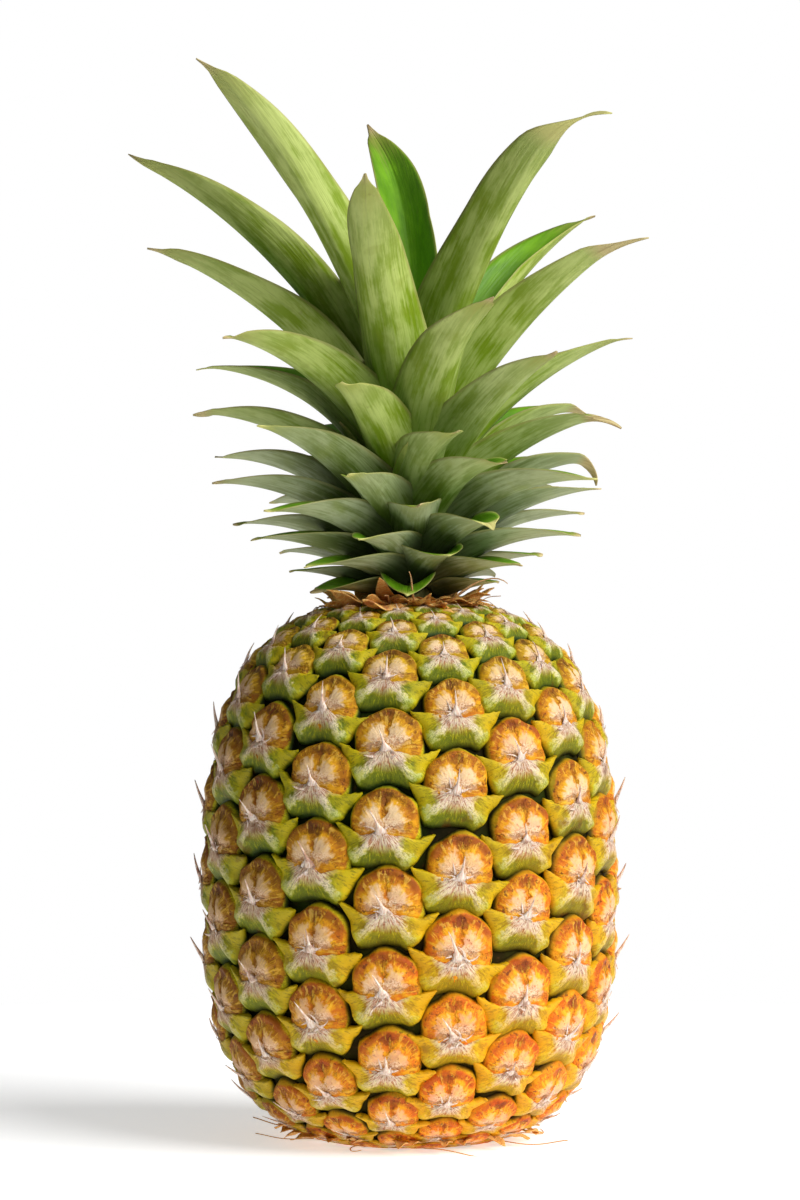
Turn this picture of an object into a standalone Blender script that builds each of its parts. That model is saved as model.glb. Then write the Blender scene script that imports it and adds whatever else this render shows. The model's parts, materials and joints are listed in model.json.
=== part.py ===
"""A whole pineapple: the fruit with its eyes, the crown's short stem, the crown's leaves and the dry collar between
fruit and crown. Metres, +Z up the fruit's axis, -Y the front, origin at the middle of the flat spot it stands on.
"""

import math

import bmesh
import bpy
import numpy as np

MM = 0.001

# Fruit
FRUIT_RADIUS = 61.6 * MM  # to the mean surface, which the eyes stand out from
FRUIT_WIDEST = 78.0 * MM  # height of the widest place
FRUIT_BELOW = 80.5 * MM  # half height of the barrel under the widest place
FRUIT_ABOVE = 87.0 * MM  # and over it
BARREL_POWER = 2.85  # 2 is an ellipse, more is squarer
NECK_RADIUS = 14.0 * MM  # flat top under the crown
SCAR_RADIUS = 12.0 * MM  # cut stalk in the middle of the base
SCAR_GROOVE = 1.6 * MM  # width of each wall of the groove round it
SCAR_DEPTH = 1.2 * MM
FRUIT_SIDES = 72
FRUIT_RINGS = 37

# Eyes: upright columns, each a step higher than the one on its left, which gives 8 spirals one way and 10 the other
EYE_COLUMNS = 18
EYE_STEP = 4 / 9  # of the space between two eyes of a column
EYE_SPACE = 24.0 * MM  # between two eyes of a column, at the widest place
EYE_AZIMUTH = math.radians(-7.6)  # of one column, from the front, right is plus
EYE_HEIGHT = 122.0 * MM  # of one eye of that column
EYE_STAND = 2.4 * MM  # how far an eye's middle stands out from the grooves
EYE_ROUNDNESS = 3.0
EYE_FADE_BELOW = 12.0 * MM  # the eyes grow flat over this height at the base
EYE_FADE_ABOVE = 4.0 * MM  # and over this one at the neck

# Crown stem
STEM_HEIGHT = 54.0 * MM
STEM_RADIUS = 8.5 * MM
STEM_TAPER = [(0, 1), (0.2, 1), (0.6, 0.62), (0.95, 0.3), (1, 0.2)]  # share of the height, share of the radius
STEM_SIDES = 24
GAP = 0.3 * MM  # between pieces that touch

# How a leaf changes with its order on the stem, the lowest is 1
ORDER = [0, 8, 16, 24, 32, 40, 47, 52, 56]
ATTACH = [1.2, 4, 7.5, 12, 17, 24, 33, 42, 49]  # mm above the neck, where it leaves the stem
BASE_LEAN = [70, 58, 50, 43, 36, 30, 26, 22, 15]  # degrees from upright there
REACH = [32, 43, 53, 60, 64, 68, 76, 88, 76]  # mm from the fruit's axis to its tip
RISE = [2, 13, 22, 32, 45, 62, 86, 124, 168]  # mm from the neck up to its tip
WIDTH = [18, 22, 25, 27, 29, 31, 33, 33, 31]  # mm at the widest, over the curve of the trough

LEAF_THICKNESS = 0.8 * MM
LEAF_TIP_WIDTH = 1.2 * MM
LEAF_CHANNEL = 13.0 * MM  # radius of the trough that a leaf is folded to
LEAF_WRAP = 0.5  # half of a foot's turn round the stem, in radians
LEAF_BEND = 1.0  # 1 bends evenly along the leaf, more bends later
LEAF_ALONG = 7
LEAF_ACROSS = 4

# order, azimuth of the foot from the front (right is plus), sway of the tip in degrees, reach and rise in mm
# added to the ones above, width factor. The feet follow each other by the golden angle, nearly.
LEAVES = [
    (1, -54, -8, 1, 0, 1.0),
    (2, 70, -8, -4, 2, 0.9),
    (4, -2, 0, -8, -5, 1.1),
    (5, 136, 0, 0, 0, 1.0),
    (6, -87, 0, -3, 0, 0.9),
    (7, 54, -3, 2, 0, 1.0),
    (8, -172, 0, 0, 0, 1.0),
    (9, -34, -12, 0, -3, 1.0),
    (10, 103, 0, -3, 0, 0.9),
    (11, -119, 0, 0, 0, 0.9),
    (12, 18, 0, -9, -3, 1.05),
    (13, 156, 0, 0, 0, 1.0),
    (14, -67, 0, 2, 0, 1.0),
    (15, 72, 4, 2, 0, 1.0),
    (16, -152, 0, 0, 0, 1.0),
    (17, -17, -5, -13, -4, 1.1),
    (18, 123, -12, 4, 4, 0.9),
    (19, -99, 0, 0, -1, 0.9),
    (20, 37, -6, -8, -3, 1.05),
    (21, 176, 0, 0, 0, 1.0),
    (22, -47, -4, -2, -2, 1.0),
    (23, 91, 0, 0, 5, 0.9),
    (24, -132, 0, 0, 0, 1.0),
    (25, 4, 0, -19, -4, 1.15),
    (26, 143, -14, 0, 2, 0.9),
    (27, -79, 0, 0, 0, 0.9),
    (28, 60, 6, 0, -1, 1.0),
    (29, -164, 0, 0, 0, 1.0),
    (30, -27, 3, -18, -3, 1.2),
    (31, 111, -4, 2, 2, 0.9),
    (32, -112, 0, 2, 1, 0.9),
    (33, 29, 5, -13, -5, 1.15),
    (34, 163, 0, 0, 0, 1.0),
    (35, -56, 6, -6, 2, 1.0),
    (36, 78, 0, 0, 5, 0.9),
    (37, -144, 0, 0, 0, 1.0),
    (38, 8, 11, -22, -6, 1.15),
    (39, 131, -12, 0, 3, 0.9),
    (40, -92, 0, -1, -3, 0.9),
    (41, 46, -4, -4, 9, 1.1),
    (42, -170, 10, 2, 8, 0.85),
    (43, -28, 5, -20, -6, 1.2),
    (44, 98, 0, -3, 8, 0.85),
    (45, -124, 10, 0, -4, 0.9),
    (46, 15, 7, -10, 8, 1.15),
    (47, 151, 0, 0, 12, 0.9),
    (48, -58, 8, -6, -14, 1.1),
    (49, 68, 2, -6, 13, 0.95),
    (50, -94, 0, -2, 2, 0.9),
    (51, -18, 8, -10, 8, 1.15),
    (52, 133, 4, 0, 3, 0.95),
    (53, -104, 0, 6, 6, 1.0),
    (54, 40, 4, -2, 9, 1.0),
    (55, 176, 14, 0, 0, 1.1),
    (56, -54, -4, -2, -4, 1.1),
]

# Dry collar: papery points that lie over the fruit's shoulder
COLLAR_POINTS = 15
COLLAR_INNER = 10.0 * MM
COLLAR_VALLEY = 19.0 * MM
COLLAR_POINT = 26.0 * MM
COLLAR_THICKNESS = 0.7 * MM
COLLAR_CLEARANCE = 0.8 * MM  # above the fruit's mean surface, where it starts
COLLAR_LIFT = 0.15  # more clearance for each mm outwards

COLOURS = {
    "rind": ((0.55, 0.42, 0.12), 0.55),
    "leaf": ((0.25, 0.38, 0.14), 0.5),
    "stem": ((0.55, 0.58, 0.3), 0.6),
    "dry": ((0.5, 0.27, 0.12), 0.85),
}


def clear_scene():
    for obj in list(bpy.data.objects):
        bpy.data.objects.remove(obj)


def material(name):
    colour, roughness = COLOURS[name]
    made = bpy.data.materials.new(name)
    made.use_nodes = True
    shader = made.node_tree.nodes["Principled BSDF"]
    shader.inputs["Base Color"].default_value = (*colour, 1)
    shader.inputs["Roughness"].default_value = roughness
    shader.inputs["Metallic"].default_value = 0.0
    return made


def squared_off(share):
    """The other side of a quarter of a barrel: 1 at share 0, and 0 at share 1."""
    return (1 - min(share, 1) ** BARREL_POWER) ** (1 / BARREL_POWER)


def barrel_radius(height):
    """The fruit's mean radius at a height."""
    half = FRUIT_ABOVE if height > FRUIT_WIDEST else FRUIT_BELOW
    return FRUIT_RADIUS * squared_off(abs(height - FRUIT_WIDEST) / half)


def barrel_height(radius):
    """The height of the shoulder at a radius."""
    return FRUIT_WIDEST + FRUIT_ABOVE * squared_off(radius / FRUIT_RADIUS)


NECK_HEIGHT = barrel_height(NECK_RADIUS)


def barrel_side(count):
    """(radius, height) pairs up the side, evenly spaced along its curve, from the base's rim to the neck's."""
    fine = np.linspace(0, NECK_HEIGHT, 2000)
    radii = np.array([barrel_radius(z) for z in fine])
    along = np.concatenate([[0], np.cumsum(np.hypot(np.diff(radii), np.diff(fine)))])
    at = np.linspace(0, along[-1], count)
    return np.interp(at, along, radii), np.interp(at, along, fine)


def eye_centres():
    """The middle of every eye. The space between the eyes of a column shrinks with the fruit's radius."""
    radii, heights = barrel_side(2000)
    step = np.hypot(np.diff(radii), np.diff(heights)) / np.maximum((radii[1:] + radii[:-1]) / 2, 10 * MM)
    rows = np.concatenate([[0], np.cumsum(step)]) * FRUIT_RADIUS / EYE_SPACE
    first = np.interp(EYE_HEIGHT, heights, rows)
    centres = []
    for column in range(EYE_COLUMNS):
        azimuth = EYE_AZIMUTH + 2 * math.pi * column / EYE_COLUMNS
        row = (first + EYE_STEP * column) % 1
        while row < rows[-1]:
            z = np.interp(row, rows, heights)
            r = barrel_radius(z)
            centres.append((r * math.sin(azimuth), -r * math.cos(azimuth), z))
            row += 1
    return np.array(centres)


def add_object(name, mesh, collection, look):
    obj = bpy.data.objects.new(name, mesh)
    obj.data.materials.append(look)
    collection.objects.link(obj)
    return obj


def turned(name, profile, sides, collection, look):
    """A closed turned solid from a profile that starts and ends on the axis and runs down its outer side."""
    outline = bpy.data.meshes.new(name)
    corners = [(r, 0, z) for r, z in profile]
    outline.from_pydata(corners, [(i, i + 1) for i in range(len(corners) - 1)], [])
    obj = add_object(name, outline, collection, look)
    spin = obj.modifiers.new("turn", "SCREW")
    spin.steps = spin.render_steps = sides
    spin.use_merge_vertices = True
    spin.merge_threshold = 0.00005
    evaluated = obj.evaluated_get(bpy.context.evaluated_depsgraph_get())
    obj.data = bpy.data.meshes.new_from_object(evaluated)
    obj.modifiers.clear()
    return obj


def make_fruit(collection, look):
    radii, heights = barrel_side(FRUIT_RINGS)
    side = list(zip(radii[::-1], heights[::-1]))
    neck = [(0, NECK_HEIGHT), (NECK_RADIUS * 0.5, NECK_HEIGHT)]
    scar = [
        (SCAR_RADIUS + 2 * SCAR_GROOVE, 0),
        (SCAR_RADIUS + SCAR_GROOVE, SCAR_DEPTH),
        (SCAR_RADIUS, 0),
        (0, 0),
    ]
    obj = turned("fruit", neck + side + scar, FRUIT_SIDES, collection, look)
    centres = eye_centres()
    cell = math.sqrt(EYE_SPACE * FRUIT_RADIUS * 2 / EYE_COLUMNS)
    for vertex in obj.data.vertices:
        x, y, z = vertex.co
        r = math.hypot(x, y)
        on_side = 0.5 * MM < z < NECK_HEIGHT - 0.5 * MM and r > SCAR_RADIUS + 3 * SCAR_GROOVE
        if not on_side:
            continue
        away = np.linalg.norm(centres - (x, y, z), axis=1).min() / (cell * r / FRUIT_RADIUS)
        rise = EYE_STAND * (1 - min(away, 1.15) ** EYE_ROUNDNESS)
        lift = rise * min(1, z / EYE_FADE_BELOW, (NECK_HEIGHT - z) / EYE_FADE_ABOVE)
        slope = max(-1, min(1, (z - FRUIT_WIDEST) / FRUIT_ABOVE)) ** 3
        flat = math.sqrt(1 - slope * slope)
        vertex.co = (x + lift * flat * x / r, y + lift * flat * y / r, z + lift * slope)
    obj.data.shade_smooth()
    return obj


def make_stem(collection, look):
    foot = NECK_HEIGHT + GAP
    side = [(STEM_RADIUS * wide, foot + STEM_HEIGHT * share) for share, wide in reversed(STEM_TAPER)]
    profile = [(0, foot + STEM_HEIGHT)] + side + [(0, foot)]
    obj = turned("crown_stem", profile, STEM_SIDES, collection, look)
    obj.data.shade_smooth()
    return obj


def stem_radius(above):
    """The stem's radius at a height above the neck."""
    shares, widths = zip(*STEM_TAPER)
    return STEM_RADIUS * float(np.interp((above - GAP) / STEM_HEIGHT, shares, widths))


def by_order(values, order):
    return float(np.interp(order, ORDER, values))


def leaf_width(share):
    """Half width along a leaf, as a share of its widest: a clasping foot, a broad blade and a long point."""
    foot = 0.6 + 0.4 * math.sin(min(share / 0.34, 1) * math.pi / 2)
    return foot * (1 - share**2.3) ** 0.85


def bend(base, tip, count):
    """A leaf's middle line of length 1 that leans base at its foot and tip at its end: (outward, up, lean) rows."""
    at = (np.arange(count) + 0.5) / count
    lean = base + (tip - base) * at**LEAF_BEND
    out = np.concatenate([[0], np.cumsum(np.sin(lean))]) / count
    up = np.concatenate([[0], np.cumsum(np.cos(lean))]) / count
    ends = base + (tip - base) * (np.arange(count + 1) / count) ** LEAF_BEND
    return np.stack([out, up, ends], axis=1)


def leaf_midline(order, reach, rise, count):
    """(radius, height, lean) at each station along a leaf's middle, bent so that its tip lands where it should."""
    above = by_order(ATTACH, order) * MM
    base = math.radians(by_order(BASE_LEAN, order))
    r = stem_radius(above) + GAP + LEAF_THICKNESS
    z = NECK_HEIGHT + above
    out = (by_order(REACH, order) + reach) * MM - r
    up = (by_order(RISE, order) + rise) * MM - above
    low, high = base, math.radians(200)
    for _ in range(40):
        tip = (low + high) / 2
        path = bend(base, tip, 120)
        if math.atan2(path[-1, 0], path[-1, 1]) < math.atan2(out, up):
            low = tip
        else:
            high = tip
    length = math.hypot(out, up) / math.hypot(path[-1, 0], path[-1, 1])
    at = np.linspace(0, 120, count)
    rows = [np.interp(at, np.arange(121), path[:, i]) for i in range(3)]
    return [(r + length * rows[0][k], z + length * rows[1][k], rows[2][k]) for k in range(count)]


def make_leaf(name, row, collection, look):
    order, azimuth, sway, reach, rise, broad = row
    half = by_order(WIDTH, order) * MM * broad / 2
    stations = leaf_midline(order, reach, rise, LEAF_ALONG + 1)
    sheet = bmesh.new()
    bmesh.ops.create_grid(sheet, x_segments=LEAF_ACROSS, y_segments=LEAF_ALONG, size=1)
    for vertex in sheet.verts:
        across = vertex.co.x
        share = (vertex.co.y + 1) / 2
        r, z, angle = stations[round(share * LEAF_ALONG)]
        span = max(min(half * leaf_width(share), LEAF_WRAP * r), LEAF_TIP_WIDTH / 2)
        trough = min(r, LEAF_CHANNEL)
        turn = across * span / trough
        side = trough * math.sin(turn)
        inward = trough * (1 - math.cos(turn))
        r -= inward * math.cos(angle)
        z += inward * math.sin(angle)
        around = math.radians(azimuth + sway * share * share)
        vertex.co = (
            r * math.sin(around) + side * math.cos(around),
            -r * math.cos(around) + side * math.sin(around),
            z,
        )
    mesh = bpy.data.meshes.new(name)
    sheet.to_mesh(mesh)
    sheet.free()
    obj = add_object(name, mesh, collection, look)
    wall = obj.modifiers.new("blade", "SOLIDIFY")
    wall.thickness = LEAF_THICKNESS
    wall.offset = 0
    obj.data.shade_smooth()
    return obj


def make_collar(collection, look):
    sheet = bmesh.new()
    loops = []
    for share in (0, 0.5, 1):
        loop = []
        for i in range(COLLAR_POINTS * 2):
            around = 2 * math.pi * i / (COLLAR_POINTS * 2)
            outer = COLLAR_POINT if i % 2 else COLLAR_VALLEY
            r = COLLAR_INNER + (outer - COLLAR_INNER) * share
            z = barrel_height(max(r, NECK_RADIUS)) + COLLAR_CLEARANCE + COLLAR_LIFT * (r - COLLAR_INNER)
            loop.append(sheet.verts.new((r * math.sin(around), -r * math.cos(around), z)))
        loops.append(loop)
    for inner, outer in zip(loops, loops[1:]):
        for i in range(len(inner)):
            j = (i + 1) % len(inner)
            sheet.faces.new((inner[i], outer[i], outer[j], inner[j]))
    bmesh.ops.recalc_face_normals(sheet, faces=sheet.faces)
    mesh = bpy.data.meshes.new("dry_collar")
    sheet.to_mesh(mesh)
    sheet.free()
    obj = add_object("dry_collar", mesh, collection, look)
    wall = obj.modifiers.new("paper", "SOLIDIFY")
    wall.thickness = COLLAR_THICKNESS
    wall.offset = 0
    return obj


def main():
    clear_scene()
    collection = bpy.data.collections.new("pineapple")
    bpy.context.scene.collection.children.link(collection)
    looks = {name: material(name) for name in COLOURS}
    make_fruit(collection, looks["rind"])
    make_stem(collection, looks["stem"])
    make_collar(collection, looks["dry"])
    for number, row in enumerate(LEAVES, 1):
        make_leaf(f"leaf_{number:02d}", row, collection, looks["leaf"])


main()
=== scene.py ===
import json
import math

import bmesh
import bpy
import numpy as np
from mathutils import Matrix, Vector

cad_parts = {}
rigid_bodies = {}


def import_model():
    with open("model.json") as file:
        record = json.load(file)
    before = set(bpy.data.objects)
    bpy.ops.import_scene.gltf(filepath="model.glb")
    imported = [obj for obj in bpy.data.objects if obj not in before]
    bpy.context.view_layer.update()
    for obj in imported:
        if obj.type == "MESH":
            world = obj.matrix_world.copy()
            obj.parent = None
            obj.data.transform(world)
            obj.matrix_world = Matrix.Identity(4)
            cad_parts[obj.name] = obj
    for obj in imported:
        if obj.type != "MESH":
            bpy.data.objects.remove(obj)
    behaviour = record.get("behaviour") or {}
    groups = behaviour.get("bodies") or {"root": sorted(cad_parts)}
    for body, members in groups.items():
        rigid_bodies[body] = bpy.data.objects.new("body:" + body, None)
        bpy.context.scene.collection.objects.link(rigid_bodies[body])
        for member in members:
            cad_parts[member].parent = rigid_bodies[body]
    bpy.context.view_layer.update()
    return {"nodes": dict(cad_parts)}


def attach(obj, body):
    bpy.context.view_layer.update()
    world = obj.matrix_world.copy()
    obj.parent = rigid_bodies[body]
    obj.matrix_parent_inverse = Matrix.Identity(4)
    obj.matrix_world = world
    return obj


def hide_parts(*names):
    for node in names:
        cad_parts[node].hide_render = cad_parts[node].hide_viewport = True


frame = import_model()
golden = math.pi * (3 - math.sqrt(5))
metre = 0.001  # shapes are made in mm


class Wire:  # one output of a node, plain sums on it add Math nodes
    def __init__(self, net, socket):
        self.net = net
        self.socket = socket

    def __add__(self, other):
        return self.net.math("ADD", self, other)

    def __sub__(self, other):
        return self.net.math("SUBTRACT", self, other)

    def __rsub__(self, other):
        return self.net.math("SUBTRACT", other, self)

    def __mul__(self, other):
        return self.net.math("MULTIPLY", self, other)

    def __truediv__(self, other):
        return self.net.math("DIVIDE", self, other)

    def __rtruediv__(self, other):
        return self.net.math("DIVIDE", other, self)

    def __pow__(self, other):
        return self.net.math("POWER", self, other)

    __radd__ = __add__
    __rmul__ = __mul__


class Net:  # a shader or geometry tree
    def __init__(self, tree):
        self.tree = tree

    def node(self, kind, settings=None, values=None, out=0):
        made = self.tree.nodes.new(kind)
        for name, value in (settings or {}).items():
            setattr(made, name, value)
        for name, value in (values or {}).items():
            if isinstance(value, Wire):
                self.tree.links.new(value.socket, made.inputs[name])
            else:
                made.inputs[name].default_value = value
        return Wire(self, made.outputs[out]) if made.outputs else None

    def math(self, operation, *terms):
        return self.node("ShaderNodeMath", {"operation": operation}, dict(enumerate(terms)))

    def vector(self, operation, *terms):
        return self.node("ShaderNodeVectorMath", {"operation": operation}, dict(enumerate(terms)))

    def join(self, x, y, z):
        return self.node("ShaderNodeCombineXYZ", None, {0: x, 1: y, 2: z})

    def split(self, vector):
        first = self.node("ShaderNodeSeparateXYZ", None, {0: vector})
        return [Wire(self, socket) for socket in first.socket.node.outputs]

    def smooth(self, value, low, high):  # 0 under low, 1 over high; low may be the larger
        if low > high:
            return 1 - self.smooth(value, high, low)
        return self.node(
            "ShaderNodeMapRange", {"interpolation_type": "SMOOTHSTEP"}, {0: value, 1: low, 2: high}
        )

    def clamp(self, value):
        return self.node("ShaderNodeClamp", None, {0: value})

    def mix(self, share, first, second, how="MIX"):
        return self.node(
            "ShaderNodeMix", {"data_type": "RGBA", "blend_type": how}, {0: share, 6: first, 7: second}, 2
        )

    def noise(self, vector, scale, detail=3.0, roughness=0.55):
        values = {"Vector": vector, "Scale": scale, "Detail": detail, "Roughness": roughness}
        return self.node("ShaderNodeTexNoise", None, values)

    def wobble(self, vector, scale):  # a smooth random vector
        values = {"Vector": vector, "Scale": scale, "Detail": 4.0}
        return self.node("ShaderNodeTexNoise", None, values, "Color")

    def place(self):
        return self.node("ShaderNodeTexCoord", None, None, "Object")

    def vivid(self, colour, saturation, value):
        return self.node(
            "ShaderNodeHueSaturation", None, {"Color": colour, "Saturation": saturation, "Value": value}
        )

    def attribute(self, name, out="Vector"):
        return self.node("ShaderNodeAttribute", {"attribute_name": name}, None, out)

    def chance(self, seed, low, high):  # a random number, or vector, for each point
        kind, first, out = ("FLOAT_VECTOR", 0, 0) if isinstance(low, tuple) else ("FLOAT", 2, 1)
        values = {first: low, first + 1: high, "Seed": seed}
        return self.node("FunctionNodeRandomValue", {"data_type": kind}, values, out)

    def random(self, value, salt):  # a steady random number for each value
        return self.node(
            "ShaderNodeTexWhiteNoise", {"noise_dimensions": "1D"}, {"W": value * 91.7 + salt}, "Value"
        )

    def spot(self, x, y, middle, size, soft=0.6):  # 1 inside an oval, 0 outside it
        across = (x - middle[0]) / size[0]
        up = (y - middle[1]) / size[1]
        return self.smooth(across * across + up * up, 1 + soft, 1 - soft)


class Coat:  # a colour built up in layers, each laid on with a share from 0 to 1
    def __init__(self, net, colour):
        self.net = net
        self.colour = colour

    def lay(self, share, colour, how="MIX"):
        self.colour = self.net.mix(share, self.colour, colour, how)


def tone(red, green, blue):  # a screen colour made linear
    shares = [v / 255 for v in (red, green, blue)]
    return (*(((v + 0.055) / 1.055) ** 2.4 if v > 0.04 else v / 12.92 for v in shares), 1.0)


def newLook(name):
    made = bpy.data.materials.new(name)
    made.use_nodes = True
    return made, Net(made.node_tree)


def finishLook(net, colour, roughness, height, **fixed):
    shader = net.tree.nodes["Principled BSDF"]
    net.tree.links.new(colour.socket, shader.inputs["Base Color"])
    if isinstance(roughness, Wire):
        net.tree.links.new(roughness.socket, shader.inputs["Roughness"])
    else:
        shader.inputs["Roughness"].default_value = roughness
    bump = net.node("ShaderNodeBump", None, {"Strength": 1.0, "Distance": 0.001, "Height": height})
    net.tree.links.new(bump.socket, shader.inputs["Normal"])
    for name, value in fixed.items():
        shader.inputs[name.replace("_", " ")].default_value = value


def loft(rings):
    # a closed skin over rings of points, each ring closed on itself
    rings = np.asarray(rings, float)
    count, around = rings.shape[:2]
    points = rings.reshape(-1, 3)
    ring = np.arange(around)
    faces = []
    for i in range(count - 1):
        a = i * around + ring
        b = i * around + (ring + 1) % around
        faces += np.stack([a, b, b + around, a + around], axis=1).tolist()
    points = np.vstack([points, rings[0].mean(0), rings[-1].mean(0)])
    last = (count - 1) * around
    faces += [[(k + 1) % around, k, count * around] for k in range(around)]
    faces += [[last + k, last + (k + 1) % around, count * around + 1] for k in range(around)]
    return points, faces


def gather(parts):
    # several (points, faces) as one
    points = []
    faces = []
    start = 0
    for some, skin in parts:
        points.append(some)
        faces += [[k + start for k in face] for face in skin]
        start += len(some)
    return np.vstack(points), faces


def newMesh(name, points, faces):
    made = bpy.data.meshes.new(name)
    made.from_pydata(np.asarray(points).tolist(), [], faces)
    shape = bmesh.new()
    shape.from_mesh(made)
    bmesh.ops.recalc_face_normals(shape, faces=shape.faces)
    shape.to_mesh(made)
    shape.free()
    made.shade_smooth()
    return made


def mark(mesh, name, values):
    # a vector for each point, which a material or a tree reads by name
    layer = mesh.attributes.new(name, "FLOAT_VECTOR", "POINT")
    layer.data.foreach_set("vector", np.ravel(values).astype(np.float32))


def smallShape(name, points, faces):
    # a shape for a tree to repeat, which carries its own flat place
    mesh = newMesh(name, points, faces)
    mark(mesh, "eyeAt", points)
    return mesh


def newPiece(name, mesh, look, replaced=()):
    made = bpy.data.objects.new(name, mesh)
    bpy.context.scene.collection.objects.link(made)
    mesh.materials.clear()
    mesh.materials.append(look)
    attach(made, "root")
    if replaced:
        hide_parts(*replaced)
    print(name, len(mesh.vertices), "points")


def step(value, low, high):
    share = np.clip((np.asarray(value, float) - low) / (high - low), 0, 1)
    return share * share * (3 - 2 * share)


def bell(value, middle, width):
    return np.exp(-(((value - middle) / width) ** 2))


# The barrel and the eyes' places on it, in mm

barrel = {
    "radius": 61.6,
    "widest": 78.0,
    "below": 80.5,
    "above": 87.0,
    "power": 2.85,
    "neck": 14.0,
    "scar": 12.0,
    "groove": 1.6,
    "grooveDepth": 1.2,
    "skinDepth": 2.1,
    "skinGap": 0.9,
    "skinRows": 84,
    "skinAround": 144,
}
eyeGrid = {
    "columns": 18,
    "step": 4 / 9,
    "height": 24.0,
    "azimuth": -7.6,
    "anchor": 122.0,
}
eyeGrid["width"] = barrel["radius"] * 2 * math.pi / eyeGrid["columns"]


def squaredOff(share):
    return (1 - np.minimum(share, 1) ** barrel["power"]) ** (1 / barrel["power"])


def barrelRadius(height):
    height = np.asarray(height, float)
    half = np.where(height > barrel["widest"], barrel["above"], barrel["below"])
    return barrel["radius"] * squaredOff(np.abs(height - barrel["widest"]) / half)


def barrelHeight(radius):
    return barrel["widest"] + barrel["above"] * squaredOff(radius / barrel["radius"])


neckHeight = float(barrelHeight(barrel["neck"]))


def evenPath(count):
    # rows, radii, heights and outward directions along the barrel's side: a row is as far as the next eye
    # of a column, row 0 is at the rim of the base, and rows under 0 are on the underside
    side = np.linspace(0, neckHeight, 4000)
    radii = barrelRadius(side)
    under = np.linspace(barrel["scar"] + 2 * barrel["groove"], radii[0], 200)[:-1]
    top = np.linspace(radii[-1], 4, 200)[1:]
    r = np.concatenate([under, radii, top])
    z = np.concatenate([under * 0, side, top * 0 + neckHeight])
    hop = np.hypot(np.diff(r), np.diff(z)) / np.maximum((r[1:] + r[:-1]) / 2, 10)
    rows = np.concatenate([[0], np.cumsum(hop)]) * barrel["radius"] / eyeGrid["height"]
    rows -= rows[len(under)]
    at = np.linspace(rows[0], rows[-1], count)
    r = np.interp(at, rows, r)
    z = np.interp(at, rows, z)
    reach = max(1, round(0.12 / (at[1] - at[0])))
    window = np.hanning(2 * reach + 3)[1:-1]
    window /= window.sum()

    def evenOut(values):
        return np.convolve(np.pad(values, reach, mode="edge"), window, mode="valid")

    r[reach:-reach] = evenOut(r)[reach:-reach]
    z[reach:-reach] = evenOut(z)[reach:-reach]
    slopeR = evenOut(np.gradient(r))
    slopeZ = evenOut(np.gradient(z))
    size = np.hypot(slopeR, slopeZ)
    return at, r, z, slopeZ / size, -slopeR / size


pathRows, pathR, pathZ, pathOut, pathUp = evenPath(900)
firstRow = float(np.interp(eyeGrid["anchor"], pathZ[pathRows > 0.2], pathRows[pathRows > 0.2])) % 1


def makePath():
    # a straight line whose points carry the barrel's side, for the tree to read
    count = len(pathRows)
    line = bpy.data.meshes.new("sidePath")
    spots = [(row - pathRows[0], 0, 0) for row in pathRows]
    line.from_pydata(spots, [(i, i + 1) for i in range(count - 1)], [])
    mark(line, "spot", np.stack([pathR, pathZ, pathR * 0], axis=1))
    mark(line, "facing", np.stack([pathOut, pathUp, pathR * 0], axis=1))
    made = bpy.data.objects.new("sidePath", line)
    bpy.context.scene.collection.objects.link(made)
    return made


def startTree(name, wanted):
    # an empty tree and its named inputs, listed by kind
    tree = bpy.data.node_groups.new(name, "GeometryNodeTree")
    tree.interface.new_socket("Geometry", in_out="OUTPUT", socket_type="NodeSocketGeometry")
    for kind, labels in wanted.items():
        for label in labels.split(", "):
            tree.interface.new_socket(label, in_out="INPUT", socket_type="NodeSocket" + kind)
    net = Net(tree)
    first = net.node("NodeGroupInput")
    given = {socket.name: Wire(net, socket) for socket in first.socket.node.outputs if socket.name}
    return net, given


def setShapes(net, given, spots, tint, which, turn, size):
    # one shape of the collection on each spot, made real, with a tint of its own
    spots = net.node(
        "GeometryNodeStoreNamedAttribute", {"data_type": "FLOAT", "domain": "POINT"},
        {"Geometry": spots, "Name": "eyeTint", "Value": tint},
    )
    shapes = net.node(
        "GeometryNodeCollectionInfo", None,
        {"Collection": given["Shapes"], "Separate Children": True, "Reset Children": True},
    )
    which = net.math("FLOOR", which * given["Shape count"])
    placed = net.node(
        "GeometryNodeInstanceOnPoints", None,
        {"Points": spots, "Instance": shapes, "Pick Instance": True, "Instance Index": which,
         "Rotation": turn, "Scale": net.join(size, size, size)},
    )
    return net.node("GeometryNodeRealizeInstances", None, {"Geometry": placed})


def moveTo(net, geometry, place):
    return net.node("GeometryNodeSetPosition", None, {"Geometry": geometry, "Position": place})


def endTree(net, given, geometry):
    geometry = net.node("GeometryNodeSetMaterial", None, {"Geometry": geometry, "Material": given["Look"]})
    net.node("NodeGroupOutput", None, {"Geometry": geometry})
    return net.tree


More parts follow.
